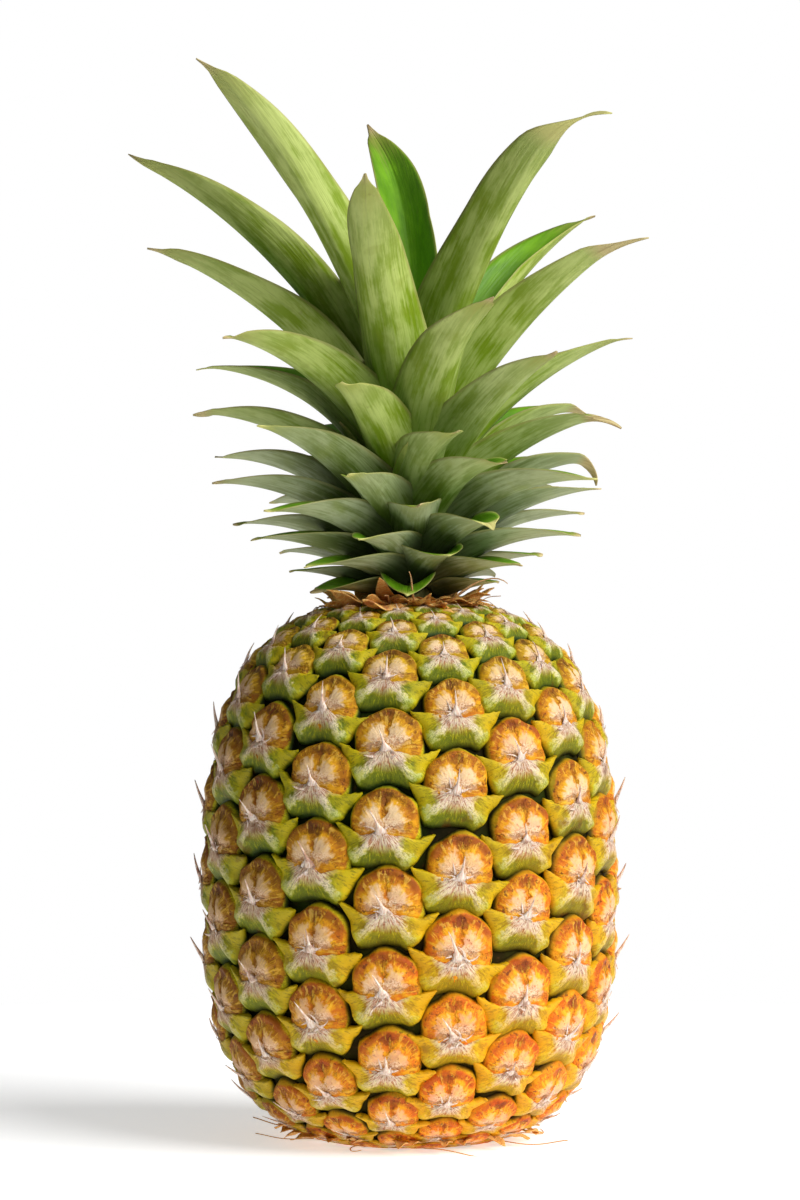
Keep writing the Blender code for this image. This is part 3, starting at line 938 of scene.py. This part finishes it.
# leaves with tips of their own: where the dry part starts, how many degrees it bends back, how brown it is
ownTips = {
    53: (0.8, 50, 0.25), 48: (0.84, 25, 0.5), 30: (0.84, 95, 0.6), 38: (0.86, 50, 0.9), 35: (0.84, 45, 0.95),
    39: (0.93, 10, 0.5), 42: (0.95, 15, 0.2), 16: (0.94, 6, 0.1), 11: (0.94, 6, 0.1), 29: (0.94, 8, 0.2),
    34: (0.94, 8, 0.1), 19: (0.86, 35, 0.3), 1: (0.86, 0, 0.9), 52: (0.97, 0, 0.5), 50: (0.975, 0, 0.5),
}
ownRolls = {55: 24, 52: 34, 49: 18, 53: -12, 48: -10, 47: 10}  # degrees about the leaf's own line
tiers = {  # first and last leaf of each piece
    "leavesLowest": (1, 12),
    "leavesLow": (13, 26),
    "leavesMiddle": (27, 38),
    "leavesHigh": (39, 47),
    "leavesTop": (48, 55),
}
heart = {"count": 9, "foot": 4.0, "from": 178.0, "low": 214.0, "high": 240.0, "spread": 20.0, "width": 7.0}


def leafLine(name):
    # centre line, sideways direction and half width in mm, from the foot to the tip
    shape = bmesh.new()
    shape.from_mesh(frame["nodes"][name].data)
    bmesh.ops.remove_doubles(shape, verts=shape.verts, dist=0.00001)
    shape.verts.ensure_lookup_table()
    spots = np.array([v.co[:] for v in shape.verts]) * 1000
    links = [[e.other_vert(v).index for e in v.link_edges] for v in shape.verts]
    shape.free()
    tip = spots[np.argmax(np.linalg.norm(spots - (0, 0, neckHeight), axis=1))]
    row = set(np.argsort(np.linalg.norm(spots - tip, axis=1))[:10].tolist())
    seen = set(row)
    rows = []
    while row:
        rows.append(sorted(row))
        row = {k for v in row for k in links[v]} - seen
        seen |= row
    middle = []
    widths = []
    for row in reversed(rows):
        some = spots[row]
        centre = some.mean(0)
        if len(middle) == 0:
            heading = math.atan2(centre[0], -centre[1])
        sideways = np.array([math.cos(heading), math.sin(heading), 0])
        some = some[np.argsort((some - centre) @ sideways)]
        pairs = (some[0::2] + some[1::2]) / 2
        middle.append(pairs[len(pairs) // 2])
        widths.append(np.linalg.norm(np.diff(pairs, axis=0), axis=1).sum() / 2)
    return np.array(middle), sideways, max(widths)


def smoothLine(spots, count):
    # a smooth curve through some spots, evenly resampled
    padded = np.vstack([2 * spots[0] - spots[1], spots, 2 * spots[-1] - spots[-2]])
    at = np.linspace(0, 1, 12, endpoint=False)[:, None]
    curve = []
    for a, b, c, d in zip(padded, padded[1:], padded[2:], padded[3:]):
        curve.append(b + at * (c - a) / 2 + at**2 * (a - 2.5 * b + 2 * c - d / 2)
                     + at**3 * (1.5 * b - a / 2 - 1.5 * c + d / 2))
    curve = np.vstack([*curve, spots[-1:]])
    far = np.concatenate([[0], np.cumsum(np.linalg.norm(np.diff(curve, axis=0), axis=1))])
    even = np.linspace(0, far[-1], count)
    return np.stack([np.interp(even, far, curve[:, k]) for k in range(3)], axis=1), even


def leafShape(middle, sideways, width, number, tier, chance):
    line, far = smoothLine(middle, leaf["stations"])
    share = far / far[-1]
    usual = (leaf["dryFrom"], chance.uniform(-5, 25), chance.uniform(0.2, 0.9))
    dryFrom, bend, brown = ownTips.get(number, usual)
    ahead = np.gradient(line, axis=0)
    ahead /= np.linalg.norm(ahead, axis=1)[:, None]
    late = np.clip((share - dryFrom + 0.05) / (1.05 - dryFrom), 0, 1)
    turn = math.radians(bend) * late**1.2
    inward = np.cross(ahead, sideways)
    ahead = ahead * np.cos(turn)[:, None] - inward * np.sin(turn)[:, None]
    steps = (ahead[1:] + ahead[:-1]) / 2 * np.diff(far)[:, None]
    line = np.vstack([line[:1], line[0] + np.cumsum(steps, axis=0)])
    inward = np.cross(ahead, sideways)
    inward /= np.linalg.norm(inward, axis=1)[:, None]
    roll = math.radians(ownRolls.get(number, 0)) * step(share, 0.05, 0.6)
    twist = roll + math.radians(leaf["twist"]) * chance.uniform(-1, 1) * share**1.5
    twist = twist + chance.uniform(-0.9, 0.9) * late**1.5
    side = sideways * np.cos(twist)[:, None] + inward * np.sin(twist)[:, None]
    inward = inward * np.cos(twist)[:, None] - sideways * np.sin(twist)[:, None]
    swell = np.sin(np.minimum(share / leaf["widestAt"], 1) * math.pi / 2)
    half = width * leaf["fuller"] * (leaf["footWidth"] + (1 - leaf["footWidth"]) * swell)
    half = half * (1 - share ** leaf["taper"]) ** leaf["point"]
    half = half * (1 - 0.45 * step(late, 0.15, 0.7)) + 0.25
    half = half * (1 + 0.02 * np.sin(far / 7 + chance.uniform(0, 6)))
    radius = np.minimum(leaf["trough"], np.hypot(line[:, 0], line[:, 1]) * 1.1 + 3) * (1 - 0.3 * late)
    wide = np.minimum(half / radius, 1.3) * (1 - 0.6 * share * step(tier, 0.5, 0.2))
    sharp = chance.uniform(0.36, 0.56)
    across = np.linspace(-1, 1, 2 * leaf["half"] + 1)
    size = np.abs(across)
    rings = []
    values = []
    phase = chance.uniform(0, 6, 2)
    for k in range(len(line)):
        angle = wide[k] * np.sign(across) * (size**sharp - 0.25 * size**6)
        gap = np.diff(across) * half[k]
        middleAngle = (angle[1:] + angle[:-1]) / 2
        out = np.concatenate([[0], np.cumsum(np.cos(middleAngle) * gap)])
        up = np.concatenate([[0], np.cumsum(np.sin(middleAngle) * gap)])
        out -= out[leaf["half"]]
        up -= up[leaf["half"]]
        up = up + leaf["wave"] * size**3 * np.sin(far[k] / 9 + np.where(across > 0, phase[0], phase[1]))
        thick = leaf["margin"] + (leaf["thick"] - leaf["margin"]) * (1 - size**2)
        thick = thick * (1 - 0.65 * share[k] ** 2)
        facing = inward[k] * np.cos(angle)[:, None] - side[k] * np.sin(angle)[:, None]
        spots = line[k] + side[k] * out[:, None] + inward[k] * up[:, None]
        facing = facing * thick[:, None] / 2
        rings.append(np.vstack([spots - facing, (spots + facing)[::-1]]))
        dry = step(share[k], dryFrom - 0.02, dryFrom + 0.03)
        values += [(a * half[k], far[k], 0, a, share[k], dry) for a in across]
        values += [(a * half[k], far[k], 1, a, share[k], dry) for a in across[::-1]]
    values = np.array(values + [values[0], values[-1]])
    points, faces = loft(rings)
    tints = np.tile((tier, chance.uniform(0, 1), brown), (len(points), 1))
    return points, faces, values[:, :3], values[:, 3:], tints


def leafLook():
    look, net = newLook("crownLeaf")
    place = net.place()
    wide, far, face = net.split(net.attribute("leafAt"))
    across, share, dry = net.split(net.attribute("leafShare"))
    tier, one, brown = net.split(net.attribute("leafTone"))
    size = net.math("ABSOLUTE", across)
    own = net.join(wide * 1.0, far * 0.045, one * 83.0)
    veins = net.noise(own, 1.3, 2.0, 0.55)
    fibre = net.noise(own, 3.0, 2.0, 0.5)
    bloom = net.noise(net.join(wide * 0.16, far * 0.05, one * 47.0), 1.4, 4.0, 0.6)
    bands = net.noise(net.join(wide * 0.1, far * 0.12, one * 13.0), 1.0, 3.0)
    # outer face: grey green with bloom low in the crown, yellow green higher
    chalk = bloom + (veins - 0.5) * 0.5
    low = net.mix(net.smooth(chalk, 0.36, 0.66), tone(116, 130, 66), tone(184, 194, 150))
    high = net.mix(net.smooth(chalk, 0.34, 0.66), tone(132, 158, 26), tone(190, 206, 112))
    upper = net.smooth(tier + (one - 0.5) * 0.15, 0.42, 0.84)
    outer = Coat(net, net.mix(upper, low, high))
    outer.lay(net.smooth(share, 0.5, 0.98) * (0.2 + 0.35 * upper), tone(196, 206, 128))
    outer.lay(net.smooth(bands, 0.55, 0.72) * 0.35, tone(146, 160, 50))
    outer.lay(net.smooth(veins, 0.62, 0.75) * 0.3, tone(108, 130, 34))
    outer.lay(net.smooth(share, 0.35, 0.85) * (1.0 - upper) * 0.55, tone(178, 188, 146))
    # painted shade: darker towards the leaf's foot, deep in the crown
    deep = net.smooth(share, 0.62, 0.2)
    outer.lay(deep * (0.85 - 0.4 * upper), net.mix(upper, tone(44, 52, 22), tone(96, 124, 8)))
    # inner face: darker and more even
    inner = Coat(net, net.mix(net.smooth(bloom, 0.3, 0.72), tone(84, 134, 4), tone(112, 164, 18)))
    inner.lay(net.smooth(veins, 0.5, 0.7) * 0.35, tone(96, 136, 44))
    coat = Coat(net, net.mix(net.smooth(face, 0.4, 0.6), outer.colour, inner.colour))
    # thin margins and yellow ends
    edge = net.smooth(size, 0.9, 0.985)
    coat.lay(edge * 0.6, net.mix(share, tone(120, 126, 70), tone(172, 158, 96)))
    yellow = net.smooth(share + (veins - 0.5) * 0.2, 0.8, 0.97)
    coat.lay(yellow * 0.6, net.mix(brown, tone(176, 186, 76), tone(150, 140, 74)))
    specks = net.smooth(net.noise(place, 260.0, 2.0), 0.68, 0.76)
    coat.lay(specks * 0.2, tone(112, 100, 44))
    husk = net.mix(net.smooth(brown, 0.1, 0.6), tone(216, 216, 130), tone(204, 186, 134))
    husk = net.mix(net.smooth(veins, 0.45, 0.65) * brown * 0.7, husk, tone(130, 94, 50))
    coat.lay(dry, husk)
    rise = veins * 0.18 + fibre * 0.03 + net.smooth(size, 0.1, 0.0) * -0.15 + bloom * 0.2
    rough = 0.42 + 0.18 * bloom + 0.25 * dry
    finishLook(net, net.vivid(coat.colour, 1.0, 1.14), rough, rise, Specular_IOR_Level=0.35)
    return look


def leafPiece(name, shapes, look, replaced=()):
    points, faces = gather([part[:2] for part in shapes])
    mesh = newMesh(name, points * metre, faces)
    for k, label in enumerate(("leafAt", "leafShare", "leafTone")):
        mark(mesh, label, np.vstack([part[k + 2] for part in shapes]))
    newPiece(name, mesh, look, replaced)


def makeCrown():
    chance = np.random.default_rng(leaf["seed"])
    look = leafLook()
    for name, (first, last) in tiers.items():
        nodes = [f"leaf_{k:02d}" for k in range(first, last + 1)]
        shapes = [
            leafShape(*leafLine(node), k, k / 55, chance) for k, node in zip(range(first, last + 1), nodes)
        ]
        leafPiece(name, shapes, look, nodes)
    shapes = []
    for k in range(heart["count"]):
        share = k / (heart["count"] - 1)
        heading = k * golden
        out = np.array([math.sin(heading), -math.cos(heading), 0])
        top = heart["low"] + (heart["high"] - heart["low"]) * share
        at = np.linspace(0, 1, 7)[:, None]
        reach = heart["foot"] * (1 - 0.5 * share) + heart["spread"] * (1.15 - share) * at**1.6
        middle = out * reach + (0, 0, 1) * (heart["from"] + (top - heart["from"]) * at)
        sideways = np.array([math.cos(heading), math.sin(heading), 0])
        shapes.append(leafShape(middle, sideways, heart["width"], 0, 0.8, chance))
    leafPiece("crownHeart", shapes, look)


makeCrown()
print("crown made")


# Dry bits: the papery collar under the crown, loose strands and the ragged foot

dryBits = {
    "collar": {
        "shape": "husk", "shapes": 5, "count": 66, "rings": 3, "radius": 13.0, "ringStep": 3.6,
        "height": 164.8, "drop": 0.7, "tilt": (-24.0, 34.0), "yaw": 36.0, "size": (0.8, 1.35), "seed": 3,
    },
    "collarStrands": {
        "shape": "strand", "shapes": 6, "count": 13, "rings": 1, "radius": 20.0, "ringStep": 0.0,
        "height": 164.2, "drop": 0.0, "tilt": (-12.0, 34.0), "yaw": 50.0, "size": (0.7, 1.5), "seed": 9,
    },
    "footHusks": {
        "shape": "husk", "shapes": 5, "count": 30, "rings": 1, "radius": 36.0, "ringStep": 0.0,
        "height": 4.0, "drop": 0.0, "tilt": (-16.0, 4.0), "yaw": 60.0, "size": (0.5, 0.85), "seed": 21,
    },
    "footStraws": {
        "shape": "strand", "shapes": 6, "count": 9, "rings": 1, "radius": 31.0, "ringStep": 0.0,
        "height": 1.3, "drop": 0.0, "tilt": (-1.0, 3.0), "yaw": 40.0, "size": (0.8, 1.3), "seed": 4,
    },
}


def huskShape(chance):
    # a crumpled dry triangle, pointing along x
    length = chance.uniform(8.5, 12.5)
    at = np.linspace(0, 1, 9)
    curl = chance.uniform(-0.8, 1.0)
    wave = chance.uniform(0, 6, 4)
    rings = []
    for share in at:
        half = 3.6 * (1 - share**1.5) + 0.12
        y = np.linspace(-half, half, 7)
        z = 1.1 * np.sin(share * 3 + wave[0]) * (y / 4) + 0.5 * np.sin(y * 1.4 + wave[1] + share * 3)
        z = z + curl * 3.2 * share**2 + 0.35 * np.sin(share * 9 + wave[2])
        x = length * share + 0.5 * np.sin(y * 1.3 + wave[3]) * (1 - share)
        upper = np.stack([x + 0 * y, y, z + 0.12], axis=1)
        lower = np.stack([x + 0 * y, y, z - 0.12], axis=1)
        rings.append(np.vstack([upper, lower[::-1]]))
    points, faces = loft(rings)
    return smallShape("husk", points, faces)


def strandShape(chance):
    # a thin curled fibre, running along x
    length = chance.uniform(11, 19)
    at = np.linspace(0, 1, 12)
    bend = chance.uniform(-1.3, 1.3, 2)
    turn = bend[0] * at + bend[1] * at**2
    y = np.cumsum(np.sin(turn)) * length / 11
    x = np.cumsum(np.cos(turn)) * length / 11
    z = 1.2 * np.sin(at * 4 + chance.uniform(0, 6)) * at
    widths = 0.55 * (1 - at**2) + 0.14
    points, faces = blade(np.stack([x, y, z], axis=1), widths, 0.25, (0, 0, 1))
    return smallShape("strand", points, faces)


def bitsTree():
    # sets one shape of a collection many times on rings round the axis, each pointing outward and tilted
    net, given = startTree("bitsOnRings", {
        "Collection": "Shapes", "Material": "Look", "Int": "Shape count, Count, Rings, Seed",
        "Float": "Radius, Ring step, Height, Drop, Tilt low, Tilt high, Yaw, Size low, Size high",
    })
    seed = given["Seed"]
    points = net.node("GeometryNodeMeshLine", None, {"Count": given["Count"]})
    index = net.node("GeometryNodeInputIndex")
    ring = net.math("MODULO", index, given["Rings"])
    angle = (index + net.chance(seed + 1, -0.4, 0.4)) * 2 * math.pi / given["Count"]
    radius = given["Radius"] + ring * given["Ring step"] + net.chance(seed + 2, -0.8, 0.8)
    height = given["Height"] - ring * given["Drop"]
    spot = net.join(radius * net.math("COSINE", angle), radius * net.math("SINE", angle), height)
    points = moveTo(net, points, spot)
    tint = net.chance(seed + 3, 0.0, 1.0)
    tilt = net.chance(seed + 4, given["Tilt low"], given["Tilt high"])
    yaw = angle + net.chance(seed + 5, -1.0, 1.0) * given["Yaw"]
    size = net.chance(seed + 6, given["Size low"], given["Size high"])
    which = net.chance(seed + 7, 0.0, 0.9999)
    placed = setShapes(net, given, points, tint, which, net.join(0.0, tilt * -1.0, yaw), size)
    x, y, z = net.split(net.node("GeometryNodeInputPosition"))
    place = net.join(x * metre, y * metre, net.math("MAXIMUM", z, 0.2) * metre)
    return endTree(net, given, moveTo(net, placed, place))


def scatterBits(name, tree, choice, look):
    chance = np.random.default_rng(choice["seed"])
    shape = huskShape if choice["shape"] == "husk" else strandShape
    meshes = [shape(chance) for _ in range(choice["shapes"])]
    low, high = (math.radians(v) for v in choice["tilt"])
    mesh = fromTree(name, tree, meshes, {
        "Shape count": choice["shapes"], "Count": choice["count"], "Rings": choice["rings"],
        "Radius": choice["radius"], "Ring step": choice["ringStep"], "Height": choice["height"],
        "Drop": choice["drop"], "Tilt low": low, "Tilt high": high, "Yaw": math.radians(choice["yaw"]),
        "Size low": choice["size"][0], "Size high": choice["size"][1], "Seed": choice["seed"], "Look": look,
    })
    newPiece(name, mesh, look, ["dry_collar"] if name == "collar" else ())


def makeDryBits():
    tree = bitsTree()
    husk = paperLook("collarHusk", tone(255, 206, 122), tone(232, 150, 64), tone(140, 66, 24))
    straw = paperLook("dryStrand", tone(226, 182, 130), tone(196, 140, 86), tone(132, 82, 52))
    for name, choice in dryBits.items():
        scatterBits(name, tree, choice, straw if choice["shape"] == "strand" else husk)


def coverStem():
    look, net = newLook("crownStem")
    place = net.place()
    x, y, z = net.split(place)
    lines = net.noise(net.join(x * 900.0, y * 900.0, z * 60.0), 1.0, 3.0)
    patch = net.noise(place, 130.0, 3.0)
    coat = Coat(net, net.mix(net.smooth(lines, 0.4, 0.62), tone(92, 96, 34), tone(164, 160, 92)))
    coat.lay(net.smooth(patch, 0.5, 0.66) * 0.6, tone(88, 58, 28))
    finishLook(net, coat.colour, 0.7, lines * 0.4 + patch * 0.3)
    for slot in frame["nodes"]["crown_stem"].material_slots:
        slot.material = look


makeDryBits()
print("dry bits made")
coverStem()
print("stem covered")


# Camera, light and floor

studio = {
    "camera": (-0.003, -1.2, 0.1656),
    "seenHeight": 0.370,  # metres of height seen at the fruit's axis
    "sensor": 36.0,
    "floor": 0.9,
    "floorGlow": 0.5,
    "floorRadius": 0.42,
    "ambient": 0.14,
    "sun": 3.7,
    "sunAngle": 45.0,
    "sunFrom": (1.4, -0.8, 1.2),
    "softbox": 1.0,
    "softboxAt": (0.5, -1.0, 0.6),
    "softboxAim": (0, 0, 0.14),
    "softboxSize": (0.5, 0.7),
}


def addCamera(scene):
    lens = bpy.data.cameras.new("camera")
    camera = bpy.data.objects.new("camera", lens)
    scene.collection.objects.link(camera)
    camera.location = studio["camera"]
    camera.rotation_euler = (math.radians(90), 0, 0)
    lens.sensor_width = studio["sensor"]
    lens.lens = studio["sensor"] * -studio["camera"][1] / studio["seenHeight"]
    scene.camera = camera


def addWorld(scene):
    # white behind the object, and only a little light from all round
    world = bpy.data.worlds.new("studio")
    world.use_nodes = True
    net = Net(world.node_tree)
    seen = net.node("ShaderNodeLightPath", None, None, "Is Camera Ray")
    strength = seen * (1.0 - studio["ambient"]) + studio["ambient"]
    sky = world.node_tree.nodes["Background"]
    world.node_tree.links.new(strength.socket, sky.inputs["Strength"])
    sky.inputs["Color"].default_value = (1, 1, 1, 1)
    scene.world = world


def addFloor(scene):
    look, net = newLook("paleFloor")
    shader = net.tree.nodes["Principled BSDF"]
    shader.inputs["Base Color"].default_value = (*[studio["floor"]] * 3, 1)
    shader.inputs["Emission Color"].default_value = (1, 1, 1, 1)
    shader.inputs["Emission Strength"].default_value = studio["floorGlow"]
    shader.inputs["Roughness"].default_value = 0.9
    shape = bmesh.new()
    bmesh.ops.create_circle(shape, cap_ends=True, segments=96, radius=studio["floorRadius"])
    mesh = bpy.data.meshes.new("floor")
    shape.to_mesh(mesh)
    shape.free()
    floor = bpy.data.objects.new("floor", mesh)
    mesh.materials.append(look)
    scene.collection.objects.link(floor)


def addLamp(scene, name, kind, power, spot, turn):
    lamp = bpy.data.lights.new(name, kind)
    lamp.energy = power
    made = bpy.data.objects.new(name, lamp)
    scene.collection.objects.link(made)
    made.location = spot
    made.rotation_euler = turn.to_euler()
    return lamp


def makeStudio():
    scene = bpy.context.scene
    scene.view_settings.view_transform = "Standard"
    addCamera(scene)
    addWorld(scene)
    addFloor(scene)
    turn = Vector(studio["sunFrom"]).to_track_quat("Z", "Y")
    sun = addLamp(scene, "sun", "SUN", studio["sun"], (0, 0, 0), turn)
    sun.angle = math.radians(studio["sunAngle"])
    turn = (Vector(studio["softboxAim"]) - Vector(studio["softboxAt"])).to_track_quat("-Z", "Y")
    box = addLamp(scene, "softbox", "AREA", studio["softbox"], studio["softboxAt"], turn)
    box.shape = "RECTANGLE"
    box.size = studio["softboxSize"][0]
    box.size_y = studio["softboxSize"][1]


makeStudio()
print("studio made")
